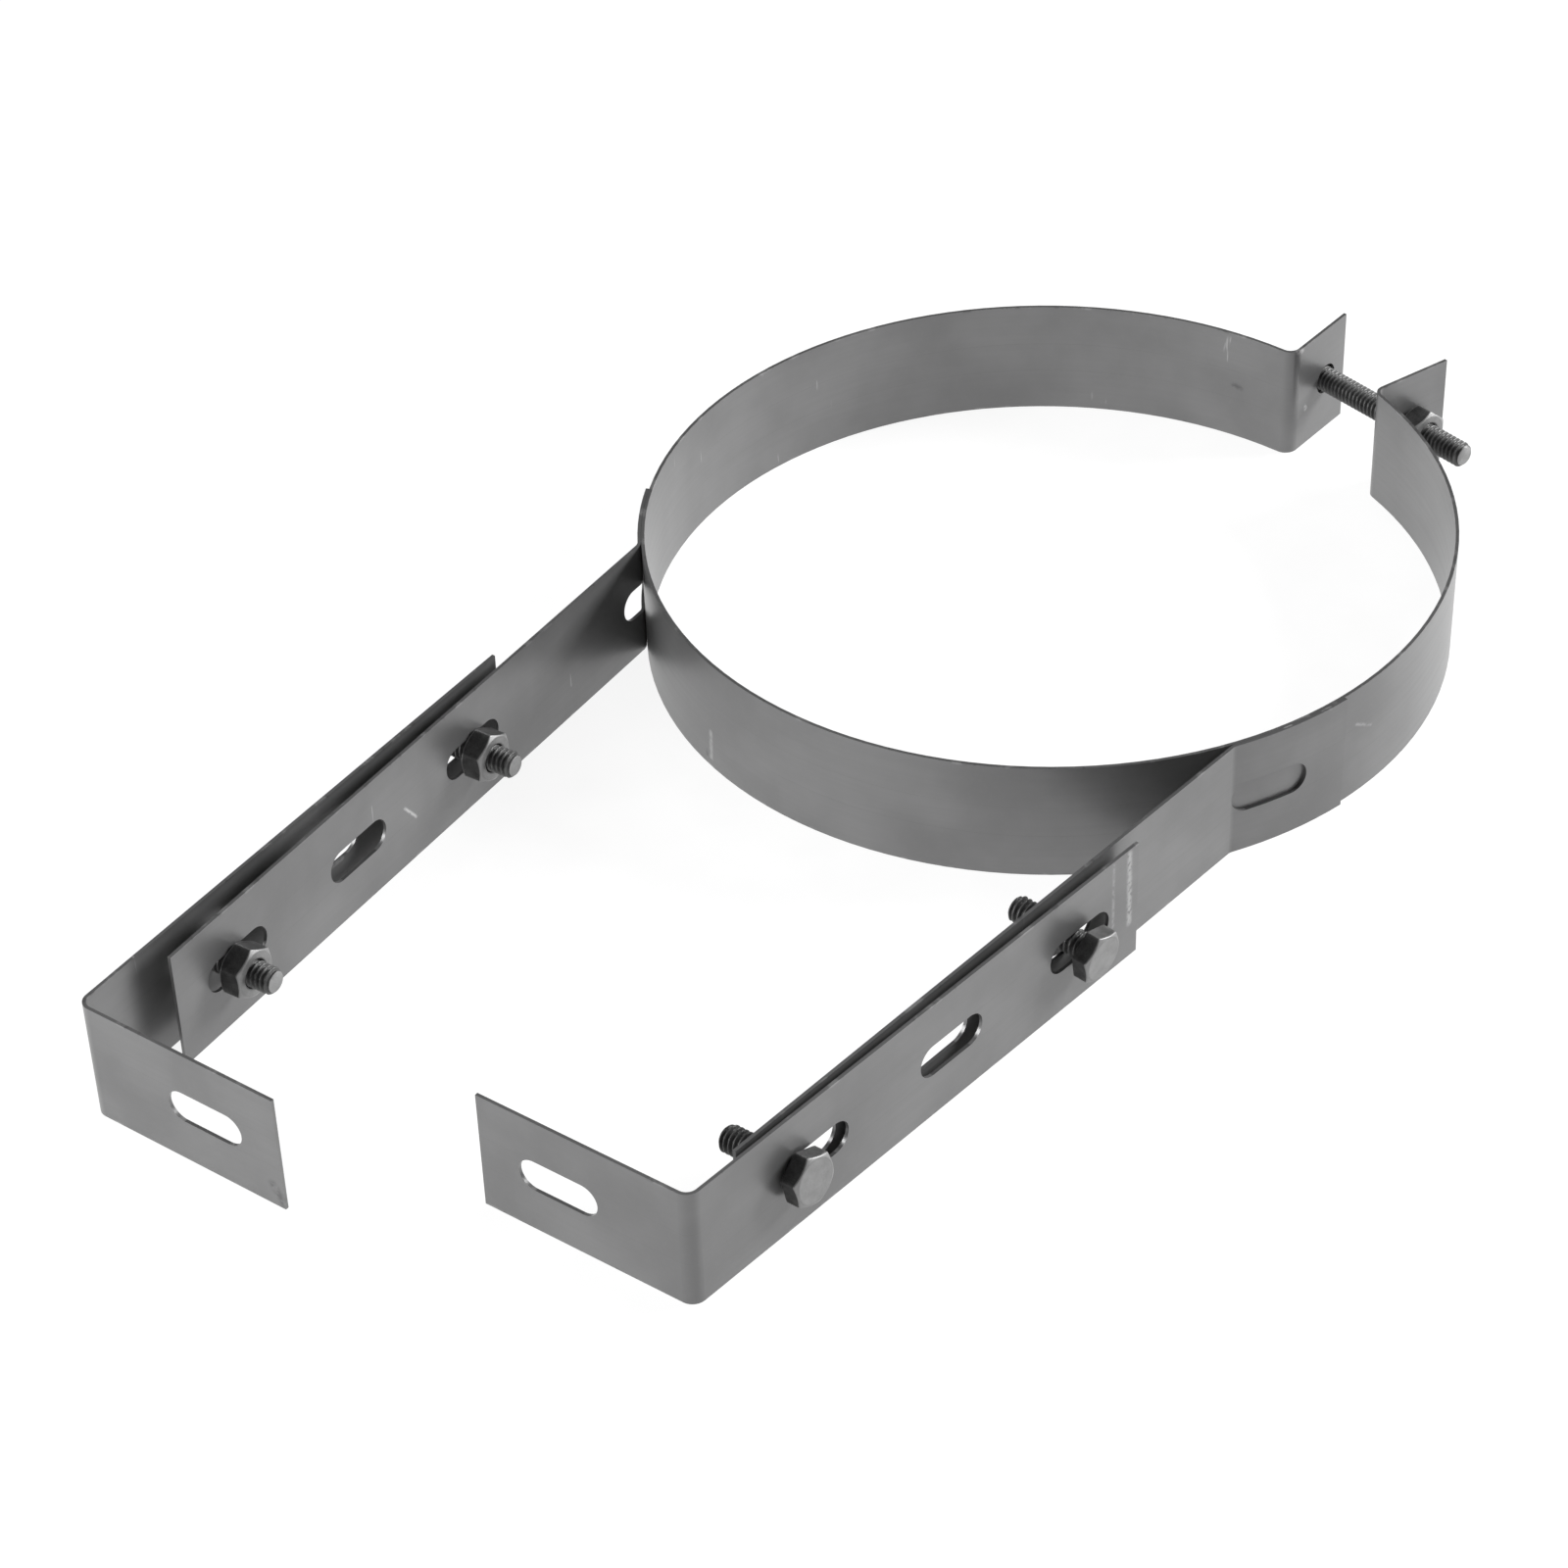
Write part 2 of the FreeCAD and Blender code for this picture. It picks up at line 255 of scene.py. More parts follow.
def wound_surface(name, rows, angles, polish_and_shading, closed):
    """A closed surface from rows of (radius, height) round Z, one column for each angle. Either the
    last row joins the first, as round a nut, or both end rows close on the axis."""
    count, columns = rows.shape[:2]
    points = np.stack([rows[..., 0] * np.cos(angles), rows[..., 0] * np.sin(angles), rows[..., 1]], 2)
    points = points.reshape(-1, 3)
    row = np.arange(count if closed else count - 1)[:, None] * columns
    column = np.arange(columns)[None, :]
    beside = (column + 1) % columns
    above = (row + columns) % (count * columns)
    quads = np.stack([row + column, row + beside, above + beside, above + column], 2).reshape(-1, 4)
    faces = quads.tolist()
    if not closed:
        first, last = len(points), len(points) + 1
        ends = [[0, 0, rows[0, 0, 1]], [0, 0, rows[-1, 0, 1]]]
        points = np.concatenate([points, ends])
        polish_and_shading = np.append(polish_and_shading.ravel(), (polish_and_shading[0, 0], polish_and_shading[-1, 0]))
        top = (count - 1) * columns
        start_fan = np.stack([np.full(columns, first), beside[0], column[0]], 1)
        end_fan = np.stack([top + column[0], top + beside[0], np.full(columns, last)], 1)
        faces += start_fan.tolist() + end_fan.tolist()
    mesh = bpy.data.meshes.new(name)
    mesh.from_pydata(points, [], faces)
    # Per point: rubbed wear, with painted light on hexagon faces and painted shade on their sides
    attribute = mesh.attributes.new("polish_and_shading", "FLOAT", "POINT")
    attribute.data.foreach_set("value", np.ravel(polish_and_shading).astype(np.float32))
    mesh.shade_smooth()
    mesh.set_sharp_from_angle(angle=EDGE_ANGLE)
    return mesh


def bolt_mesh(name, length, sizes):
    """A hexagon bolt threaded up to its head: the head's rounded profile, then the thread's rows.
    The thread fades in over one pitch under the head, and a cone takes it down at the tip."""
    angles = hexagon_columns(sizes.columns_per_side)
    flat = hexagon_radius(angles, sizes.across_flats, sizes.corner_sharpness)
    face = np.full_like(flat, sizes.across_flats * sizes.face_share / 2)
    radius = np.full_like(flat, sizes.thread_diameter / 2)
    level = np.ones_like(flat)
    slope = (flat - face) * math.tan(CONE_SLANT)
    head = sizes.head_height
    corners = np.stack([
        np.stack([face * INNER_ROW_SHARE, 0 * level], 1),
        np.stack([face, 0 * level], 1),
        np.stack([flat, slope], 1),
        np.stack([flat, head * level], 1),
        np.stack([radius, head * level], 1),
        np.stack([radius, (head + sizes.thread_pitch / 2) * level], 1),
    ])
    head_rows = rounded(corners, sizes.edge_radius)
    start = head + sizes.thread_pitch / 2
    step = sizes.thread_pitch / sizes.rows_per_pitch
    along = np.append(np.arange(start + step, length, step), length)[:, None]
    height = thread_height(angles[None, :], along, sizes.thread_pitch)
    fade = np.clip((along - start) / sizes.thread_pitch, 0, 1)
    shank = radius - sizes.thread_depth * (1 - height) * fade
    cone = sizes.thread_diameter / 2 - sizes.thread_depth + (length - along)
    thread_rows = np.stack([np.minimum(shank, cone), along + 0 * shank], 2)
    polish_and_shading = np.concatenate([
        hexagon_polish_and_shading(head_rows, HEAD_FLATS, HEAD_EDGES, sizes),
        ROOT_POLISH + (CREST_POLISH - ROOT_POLISH) * height * fade,
    ])
    polish_and_shading[-1] = TIP_POLISH
    rows = np.concatenate([head_rows, thread_rows])
    return wound_surface(name, rows, angles, polish_and_shading, closed=False)


def hexagon_polish_and_shading(rows, flats, edges, sizes):
    """Polish of a hexagon's rounded rows, with painted light on its faces and painted shade on its sides: that
    of each flat of its profile and of each edge between two flats, but more where the radius comes near that
    of a sharp corner of the hexagon."""
    by_row = [flats[0]]
    for before, edge, after in zip(flats[:-1], edges, flats[1:]):
        by_row += [before] + [edge] * (ROUNDING_STEPS + 1) + [after]
    by_row.append(flats[-1])
    sharpest = sizes.across_flats / math.sqrt(3)
    near_corner = np.clip((rows[..., 0] / sharpest - CORNER_RUB_START) / CORNER_RUB_SPAN, 0, 1)
    return np.maximum(np.array(by_row)[:, None], CORNER_POLISH * near_corner)


def nut_mesh(name, height, sizes):
    """A hexagon nut: both faces coned off, then down the countersunk bore. Its thread is cut outwards
    from a bore that the bolt's crests just clear, so a nut can slide along its bolt."""
    angles = hexagon_columns(sizes.columns_per_side)
    flat = hexagon_radius(angles, sizes.across_flats, sizes.corner_sharpness)
    face = np.full_like(flat, sizes.across_flats * sizes.face_share / 2)
    bore = np.full_like(flat, sizes.thread_diameter / 2 + sizes.bore_clearance)
    mouth = bore + sizes.countersink
    level = np.ones_like(flat)
    slope = (flat - face) * math.tan(CONE_SLANT)
    middle = (mouth + face) / 2
    corners = np.stack([
        np.stack([middle, 0 * level], 1),
        np.stack([face, 0 * level], 1),
        np.stack([flat, slope], 1),
        np.stack([flat, height - slope], 1),
        np.stack([face, height * level], 1),
        np.stack([mouth, height * level], 1),
        np.stack([bore, (height - sizes.countersink) * level], 1),
    ])
    outer = rounded(corners, sizes.edge_radius)
    count = round((height - 2 * sizes.countersink) / sizes.thread_pitch * sizes.rows_per_pitch)
    along = np.linspace(height - sizes.countersink, sizes.countersink, count)[1:, None]
    thread = thread_height(angles[None, :], along, sizes.thread_pitch)
    cut = bore + sizes.thread_depth * NUT_DEPTH_SHARE * (1 - thread)
    bore_rows = np.stack([cut, along + 0 * cut], 2)
    lip = np.stack([mouth, 0 * level], 1)[None]
    polish_and_shading = np.concatenate([
        hexagon_polish_and_shading(outer, NUT_FLATS, NUT_EDGES, sizes),
        ROOT_POLISH + (CREST_POLISH - ROOT_POLISH) * thread,
        EDGE_POLISH * level[None],
    ])
    return wound_surface(name, np.concatenate([outer, bore_rows, lip]), angles, polish_and_shading, closed=True)


class Value:
    """A shader socket. Arithmetic on it adds Math nodes, so it reads as an expression."""

    def __init__(self, finish, socket):
        self.finish = finish
        self.socket = socket

    def __add__(self, other):
        return self.finish.math("ADD", self, other)

    def __sub__(self, other):
        return self.finish.math("SUBTRACT", self, other)

    def __rsub__(self, other):
        return self.finish.math("SUBTRACT", other, self)

    def __mul__(self, other):
        return self.finish.math("MULTIPLY", self, other)

    def ramp(self, low, high):
        """0 below low, 1 above high and smooth between. With low above high it falls instead."""
        settings = {"interpolation_type": "SMOOTHSTEP"}
        return self.finish.node("ShaderNodeMapRange", settings, {0: self, 1: low, 2: high, 3: 0.0, 4: 1.0})

    def larger(self, other):
        return self.finish.math("MAXIMUM", self, other)

    def off(self, level):
        """Distance from a level, never negative."""
        return self.finish.math("ABSOLUTE", self - level)


class Finish:
    """A material while it is put together. One method adds any node and returns its output."""

    def __init__(self, name):
        self.material = bpy.data.materials.new(name)
        self.material.use_nodes = True
        self.tree = self.material.node_tree
        self.tree.nodes.clear()
        self.place = self.node("ShaderNodeTexCoord", output="Object")

    def node(self, kind, settings=None, values=None, output=0):
        added = self.tree.nodes.new(kind)
        for key, value in (settings or {}).items():
            setattr(added, key, value)
        for key, value in (values or {}).items():
            if isinstance(value, Value):
                self.tree.links.new(value.socket, added.inputs[key])
            else:
                added.inputs[key].default_value = value
        return Value(self, added.outputs[output])

    def math(self, operation, *values):
        return self.node("ShaderNodeMath", {"operation": operation}, dict(enumerate(values)))

    def stretched(self, amounts):
        """Object coordinates times an amount for each axis."""
        return self.vector_math("MULTIPLY", self.place, amounts)

    def noise(self, scale, detail=2.0, amounts=None):
        """Noise from 0 to 1. Scale is in features per metre, and amounts stretch it along the axes."""
        place = self.stretched(amounts) if amounts else self.place
        return self.node("ShaderNodeTexNoise", None, {"Vector": place, "Scale": scale, "Detail": detail})

    def vector_math(self, operation, first, second, output="Vector"):
        return self.node("ShaderNodeVectorMath", {"operation": operation}, {0: first, 1: second}, output)

    def near(self, start, end, radius):
        """1 on a line between two places in millimetres, falling to 0 a radius away. The nearest place on
        the line is its start plus the line times the share of it that is passed, from 0 to 1."""
        line = (Vector(end) - Vector(start)) * MM
        from_start = self.vector_math("SUBTRACT", self.place, tuple(Vector(start) * MM))
        share = self.vector_math("DOT_PRODUCT", from_start, tuple(line / line.length_squared), "Value")
        share = self.node("ShaderNodeClamp", None, {0: share})
        passed = self.node("ShaderNodeVectorMath", {"operation": "SCALE"}, {0: tuple(line), "Scale": share})
        return self.vector_math("DISTANCE", from_start, passed, "Value").ramp(radius * MM, 0.0)

    def coordinate(self, axis):
        return self.node("ShaderNodeSeparateXYZ", None, {0: self.place}, axis)

    def mix(self, share, first, second):
        """A colour between two, each of which is a colour or a socket."""
        colours = [value if isinstance(value, Value) else (*value, 1.0) for value in (first, second)]
        values = {0: share, 6: colours[0], 7: colours[1]}
        return self.node("ShaderNodeMix", {"data_type": "RGBA"}, values, 2)

    def bump(self, height, strength, distance):
        values = {"Height": height, "Strength": strength, "Distance": distance}
        return self.node("ShaderNodeBump", None, values)

    def surface(self, colour, roughness, normal, **constants):
        """The shader itself. Constants are set straight on its sockets."""
        values = {"Base Color": colour, "Roughness": roughness, "Normal": normal}
        values.update(constants)
        shader = self.node("ShaderNodeBsdfPrincipled", None, values)
        output = self.tree.nodes.new("ShaderNodeOutputMaterial")
        self.tree.links.new(shader.socket, output.inputs["Surface"])
        return self.material


# Noise on the strips: features per metre and detail, and for lines and scratches the stretch along each axis
CLOUD = (38.0, 3.0)
GRAIN = (900.0, 2.0)
LINES = (1.0, 3.0, (22.0, 22.0, 900.0))
BLOTCHES = (160.0, 4.0)
NICKS = (420.0, 2.0)
SCRATCHES = (1.0, 2.0, (520.0, 520.0, 46.0))
SCRATCH_PATCHES = (75.0, 1.0)

# From which level of the noise to which each of them fades in
CLOUD_LEVELS = (0.3, 0.7)
LINE_LEVELS = (0.3, 0.7)
GRAIN_LEVELS = (0.5, 0.8)
BLOTCH_LEVELS = (0.56, 0.66)
NICK_LEVELS = (0.62, 0.70)
SCRATCH_LEVELS = (0.700, 0.725)
SCRATCH_PATCH_LEVELS = (0.60, 0.70)
MARK_LEVELS = (0.30, 0.55)

# How much each of them changes the tone, from 0 to 1
LINE_TONE = 0.15
GRAIN_TONE = 0.15
# Painted shade on the slot walls
SLOT_WALL_SHADE_TONE = 0.9
NICK_TONE = 0.6
RUBBED_TONE = 0.3
SCRATCH_TONE = 0.4

# How much the cloud and the lines roughen the strips, the middle of both that is taken off again, and how
# much smoother rubbed places are
CLOUD_ROUGHNESS = 0.10
LINE_ROUGHNESS = 0.08
STRIP_NOISE_MIDDLE = 0.09
RUBBED_SMOOTHNESS = 0.06

# How high lines, grain and scratches stand in the relief, and the relief's strength and its depth in metres
LINE_RELIEF = 0.2
GRAIN_RELIEF = 0.5
SCRATCH_RELIEF = -0.8
STRIP_BUMP = (0.10, 0.00012)
STRIP_IOR = 1.7


def strip_finish(node, look):
    """Thin satin grey on cold rolled strip: cloudy tone, faint lines along the strip, cut edges in their own
    tone, slot walls painted dark as shade, small nicks and scratches, and the marks of this strip, of which
    some are painted highlights."""
    finish = Finish("grey_strip_" + node)
    cloud = finish.noise(*CLOUD)
    grain = finish.noise(*GRAIN)
    lines = finish.noise(*LINES)
    blotch = finish.noise(*BLOTCHES)
    height = finish.coordinate("Z")
    low, high = (corner.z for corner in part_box(node))
    middle = (low + high) / 2
    to_edge = finish.math("MINIMUM", height - low, high - height)
    cut_edge = to_edge.ramp(look.face_depth, 0.0)
    # Painted shade: the slot walls are darkened as if in shadow
    slot_wall_shade = height.off(middle).off(look.slot_width / 2).ramp(look.face_depth, 0.0)
    nick = finish.noise(*NICKS).ramp(*NICK_LEVELS) * to_edge.ramp(look.edge_width, 0.0)
    rubbed = blotch.ramp(*BLOTCH_LEVELS) * to_edge.ramp(look.edge_width, look.face_depth)
    scratch = finish.noise(*SCRATCHES).ramp(*SCRATCH_LEVELS)
    scratch = scratch * finish.noise(*SCRATCH_PATCHES).ramp(*SCRATCH_PATCH_LEVELS)
    tone = finish.mix(cloud.ramp(*CLOUD_LEVELS), look.strip_dark, look.strip_light)
    tone = finish.mix(lines.ramp(*LINE_LEVELS) * LINE_TONE, tone, look.strip_dark)
    tone = finish.mix(grain.ramp(*GRAIN_LEVELS) * GRAIN_TONE, tone, look.strip_light)
    tone = finish.mix(cut_edge * look.edge_darkness, tone, look.edge_dark_and_shade)
    # The slot walls take the dark tone as painted shade
    tone = finish.mix(slot_wall_shade * SLOT_WALL_SHADE_TONE, tone, look.edge_dark_and_shade)
    tone = finish.mix(nick * NICK_TONE, tone, look.edge_dark_and_shade)
    tone = finish.mix((rubbed * RUBBED_TONE).larger(scratch * SCRATCH_TONE), tone, look.worn_and_highlight)
    # Lighter spots, among them painted highlights on the right wall bracket, and darker soiled ones
    for start, end, radius, strength in STRIP_MARKS[node]:
        spot = finish.near(start, end, radius) * grain.ramp(*MARK_LEVELS) * abs(strength)
        tone = finish.mix(spot, tone, look.worn_and_highlight if strength > 0 else look.edge_dark_and_shade)
    roughness = cloud * CLOUD_ROUGHNESS + lines * LINE_ROUGHNESS
    roughness = roughness + (look.strip_roughness - STRIP_NOISE_MIDDLE) - rubbed * RUBBED_SMOOTHNESS
    relief = lines * LINE_RELIEF + grain * GRAIN_RELIEF + scratch * SCRATCH_RELIEF
    normal = finish.bump(relief, *STRIP_BUMP)
    return finish.surface(tone, roughness, normal, Metallic=look.strip_metallic, IOR=STRIP_IOR)


# Noise on bolts and nuts: features per metre and detail, and how much each changes how rubbed they look
PATCHES = (420.0, 3.0)
FINE_GRAIN = (2600.0, 2.0)
PATCH_RUB = 0.3
FINE_GRAIN_RUB = 0.2
NOISE_MIDDLE = 0.5

# How much the fine grain roughens them, less its middle, and how much the rubbed places are smoother
FINE_GRAIN_ROUGHNESS = 0.15
FINE_GRAIN_MIDDLE = 0.07
POLISH_SMOOTHNESS = 0.10

# How high fine grain and patches stand in the relief, and the relief's strength and its depth in metres
FINE_GRAIN_RELIEF = 0.6
PATCH_RELIEF = 0.4
HARDWARE_BUMP = (0.2, 0.00008)
HARDWARE_IOR = 1.5


def hardware_finish(name, look):
    """Dull, blackened steel, darkest in the threads, rubbed grey on the hexagons' edges and corners, with
    painted light on their faces and painted shade on their sides.
    """
    finish = Finish(name)
    polish_and_shading = finish.node("ShaderNodeAttribute", {"attribute_name": "polish_and_shading"}, None, "Fac")
    patches = finish.noise(*PATCHES)
    grain = finish.noise(*FINE_GRAIN)
    # The attribute holds rubbed wear and also painted light on the faces and painted shade on the sides
    rubbed = polish_and_shading + (patches - NOISE_MIDDLE) * PATCH_RUB + (grain - NOISE_MIDDLE) * FINE_GRAIN_RUB
    tone = finish.mix(rubbed, look.hardware_dark, look.hardware_light)
    roughness = grain * FINE_GRAIN_ROUGHNESS + (look.hardware_roughness - FINE_GRAIN_MIDDLE)
    roughness = roughness - polish_and_shading * POLISH_SMOOTHNESS
    normal = finish.bump(grain * FINE_GRAIN_RELIEF + patches * PATCH_RELIEF, *HARDWARE_BUMP)
    return finish.surface(tone, roughness, normal, Metallic=look.hardware_metallic, IOR=HARDWARE_IOR)


class ScrewSizes(bpy.types.PropertyGroup):
    thread_diameter: FloatProperty(
        name="Thread diameter", description="Over the thread's crests",
        default=6.35 * MM, unit="LENGTH", precision=4)
    thread_pitch: FloatProperty(
        name="Pitch", description="From one crest to the next", default=1.27 * MM, unit="LENGTH", precision=5)
    thread_depth: FloatProperty(
        name="Thread depth", description="From crest to root", default=0.78 * MM, unit="LENGTH", precision=5)
    across_flats: FloatProperty(
        name="Across flats", description="Width of the hexagon between opposite flats",
        default=11.1 * MM, unit="LENGTH", precision=4)
    head_height: FloatProperty(
        name="Head height", description="Height of the bolt's head",
        default=4.1 * MM, unit="LENGTH", precision=4)
    face_share: FloatProperty(
        name="Face", description="Diameter of the hexagon's round face as a share of its width across flats",
        default=0.94, min=0.5, max=1.0, subtype="FACTOR")
    edge_radius: FloatProperty(
        name="Edge radius", description="How far each edge is rounded",
        default=0.22 * MM, unit="LENGTH", precision=5)
    corner_sharpness: FloatProperty(
        name="Corner sharpness", description="A higher power makes the hexagon's corners sharper",
        default=46.0, min=8.0, max=200.0)
    bore_clearance: FloatProperty(
        name="Bore clearance", description="Gap between the bolt's crests and the nut's bore",
        default=0.05 * MM, unit="LENGTH", precision=5)
    countersink: FloatProperty(
        name="Countersink", description="Depth and width of the cone at each end of the nut's bore",
        default=0.4 * MM, unit="LENGTH", precision=5)
    columns_per_side: IntProperty(
        name="Columns", description="Columns of faces on each side of the hexagon", default=12, min=4, max=24)
    rows_per_pitch: IntProperty(
        name="Rows", description="Rows of faces per pitch of the thread", default=10, min=6, max=24)


class ClampLook(bpy.types.PropertyGroup):
    strip_dark: FloatVectorProperty(
        name="Strip, dark", description="Darker tone of the strips", subtype="COLOR",
        default=(0.155, 0.155, 0.156), min=0, max=1)
    strip_light: FloatVectorProperty(
        name="Strip, light", description="Lighter tone of the strips", subtype="COLOR",
        default=(0.200, 0.200, 0.201), min=0, max=1)
    # The dark tone also serves as painted shade on the slot walls
    edge_dark_and_shade: FloatVectorProperty(
        name="Cut edge", description="Tone of the strips' cut edges and of soiled spots", subtype="COLOR",
        default=(0.085, 0.085, 0.086), min=0, max=1)
    # Also the tone of the painted highlights on the right wall bracket's cut end
    worn_and_highlight: FloatVectorProperty(
        name="Rubbed paint", description="Tone where paint is rubbed or scratched", subtype="COLOR",
        default=(0.50, 0.50, 0.50), min=0, max=1)
    edge_width: FloatProperty(
        name="Edge width", description="How far from a cut edge the paint is worn", default=0.7 * MM,
        unit="LENGTH", precision=5)
    edge_darkness: FloatProperty(
        name="Edge darkness", description="How dark the cut edges are", default=0.45, min=0, max=1,
        subtype="FACTOR")
    face_depth: FloatProperty(
        name="Face depth", description="How close to a level counts as the cut face at that level",
        default=0.02 * MM, unit="LENGTH", precision=6)
    slot_width: FloatProperty(
        name="Slot width", description="Height of the slots between their straight walls",
        default=8 * MM, unit="LENGTH", precision=4)
    strip_roughness: FloatProperty(
        name="Strip roughness", description="Middle roughness of the strips", default=0.33, min=0, max=1)
    strip_metallic: FloatProperty(
        name="Strip metallic", description="How metallic the thin finish looks", default=0.55, min=0, max=1)
    # The dark tone is also the painted shade on the hexagons' sides, and the light tone also the painted light on
    # their faces
    hardware_dark: FloatVectorProperty(
        name="Hardware, dark", description="Tone of bolts and nuts where they are dull and black",
        subtype="COLOR", default=(0.050, 0.050, 0.050), min=0, max=1)
    hardware_light: FloatVectorProperty(
        name="Hardware, light", description="Tone of bolts and nuts where they are rubbed bare",
        subtype="COLOR", default=(0.46, 0.46, 0.46), min=0, max=1)
    hardware_roughness: FloatProperty(
        name="Hardware roughness", description="Middle roughness of bolts and nuts",
        default=0.54, min=0, max=1)
    hardware_metallic: FloatProperty(
        name="Hardware metallic", description="How metallic the hardware looks", default=0.7, min=0, max=1)


class StudioSetup(bpy.types.PropertyGroup):
    view_azimuth: FloatProperty(
        name="Azimuth", description="Direction of the camera round the clamp, 0 from the wall",
        default=math.radians(37.0), subtype="ANGLE")
    view_elevation: FloatProperty(
        name="Elevation", description="Camera's height above the horizon",
        default=math.radians(38.147), subtype="ANGLE")
    view_roll: FloatProperty(
        name="Roll", description="Camera's turn about its own line of sight",
        default=math.radians(-2.066), subtype="ANGLE")
    view_distance: FloatProperty(
        name="Distance", description="From the camera to the point that it looks at",
        default=0.9627, unit="LENGTH", precision=4)
    view_target: FloatVectorProperty(
        name="Target", description="The point that the camera looks at", subtype="TRANSLATION",
        default=(-0.0155, -0.0862, 0.0))
    lens: FloatProperty(
        name="Lens", description="Focal length in millimetres on a sensor 36 mm wide", default=96.04, min=10)
    floor_tone: FloatVectorProperty(
        name="Floor", description="Tone of the floor", subtype="COLOR",
        default=(0.15, 0.15, 0.15), min=0, max=1)
    floor_glow: FloatProperty(
        name="Floor glow", description="Light that the floor gives off, which softens its shadows",
        default=0.89, min=0)
    room_light: FloatProperty(
        name="Room light", description="Strength of the light from all round", default=0.15, min=0)
    right_power: FloatProperty(
        name="Right light", description="Power of the large light on the camera's right", default=27.0, min=0)
    left_power: FloatProperty(
        name="Left light", description="Power of the large light on the camera's left", default=9.0, min=0)
    top_power: FloatProperty(
        name="Top light", description="Power of the light overhead", default=3.0, min=0)


def dress(piece, node):
    """A new piece stands for its CAD node on the same body, and the CAD node is hidden. The node's slot is
    looked up but not given to the piece.
    """
    bpy.context.scene.collection.objects.link(piece)
    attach(piece, body_of(node))
    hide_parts(node)
    slot_of(node)


def add_screws(kind, make_mesh, look, sizes):
    """Makes every bolt or every nut where its CAD node stands."""
    finish = hardware_finish("dull_steel_" + kind, look)
    for node, axis in screws(kind):
        matrix, length = stance(node, axis)
        mesh = make_mesh(node + "_threaded", length, sizes)
        mesh.transform(Matrix(matrix.tolist()))
        mesh.materials.append(finish)
        dress(bpy.data.objects.new(node + "_threaded", mesh), node)


class LINERCLAMP_OT_finish_strips(bpy.types.Operator):
    """Give the band, both arms and both wall brackets their worn grey finish"""

    bl_idname = "liner_clamp.finish_strips"
    bl_label = "Finish the strips"

    def execute(self, context):
        for node in STRIP_MARKS:
            mesh = frame["nodes"][node].data
            mesh.materials.clear()
            mesh.materials.append(strip_finish(node, context.scene.clamp_look))
        return {"FINISHED"}


class LINERCLAMP_OT_thread_bolts(bpy.types.Operator):
    """Make the clamp bolt and the four adjuster bolts with their threads"""

    bl_idname = "liner_clamp.thread_bolts"
    bl_label = "Thread the bolts"

    def execute(self, context):
        add_screws("bolt", bolt_mesh, context.scene.clamp_look, context.scene.screw_sizes)
        return {"FINISHED"}


class LINERCLAMP_OT_thread_nuts(bpy.types.Operator):
    """Make the clamp nut and the four adjuster nuts with their threads"""

    bl_idname = "liner_clamp.thread_nuts"
    bl_label = "Thread the nuts"

    def execute(self, context):
        add_screws("nut", nut_mesh, context.scene.clamp_look, context.scene.screw_sizes)
        return {"FINISHED"}


# The floor: half its width and its level in metres, how rough it is, and its grain's features per metre and
# detail, the levels that it fades in between, its share of the tone, and its relief's strength and depth
FLOOR_REACH = 6.0
FLOOR_LEVEL = -0.1 * MM
FLOOR_ROUGHNESS = 0.9
FLOOR_GRAIN = (60.0, 2.0)
FLOOR_GRAIN_LEVELS = (0.2, 0.8)
FLOOR_GRAIN_TONE = 0.04
FLOOR_BUMP = (0.01, 0.0001)

# Each light's name, its place from the middle of the clamp and the length of its side, in metres
RIGHT_LIGHT = ("right_light", (0.75, 1.0, 0.55), 0.5)
LEFT_LIGHT = ("left_light", (-0.55, -0.75, 0.42), 0.6)
TOP_LIGHT = ("top_light", (-0.3, 0.4, 1.4), 1.0)

# The camera's sensor in millimetres, and how near it still sees, in metres
SENSOR_WIDTH = 36
NEAREST_SIGHT = 0.05


def add_floor(tone, glow):
    """A plain floor just under the clamp, white by its own glow and wide enough to fill every view."""
    mesh = bpy.data.meshes.new("floor")
    sides = ((-1, -1), (1, -1), (1, 1), (-1, 1))
    corners = [(x * FLOOR_REACH, y * FLOOR_REACH, FLOOR_LEVEL) for x, y in sides]
    mesh.from_pydata(corners, [], [(0, 1, 2, 3)])
    floor = bpy.data.objects.new("floor", mesh)
    bpy.context.scene.collection.objects.link(floor)
    finish = Finish("pale_floor")
    grain = finish.noise(*FLOOR_GRAIN)
    colour = finish.mix(grain.ramp(*FLOOR_GRAIN_LEVELS) * FLOOR_GRAIN_TONE, tone, WHITE)
    normal = finish.bump(grain, *FLOOR_BUMP)
    lit = {"Emission Color": (*WHITE, 1.0), "Emission Strength": glow}
    mesh.materials.append(finish.surface(colour, FLOOR_ROUGHNESS, normal, **lit))


def add_light(name, place, size, power):
    """A large soft square light that faces the middle of the clamp."""
    lamp = bpy.data.lights.new(name, "AREA")
    lamp.shape = "SQUARE"
    lamp.size = size
    lamp.energy = power
    light = bpy.data.objects.new(name, lamp)
    middle = (cad_box[0] + cad_box[1]) / 2
    light.location = middle + Vector(place)
    light.rotation_euler = (-Vector(place)).to_track_quat("-Z", "Y").to_euler()
    bpy.context.scene.collection.objects.link(light)


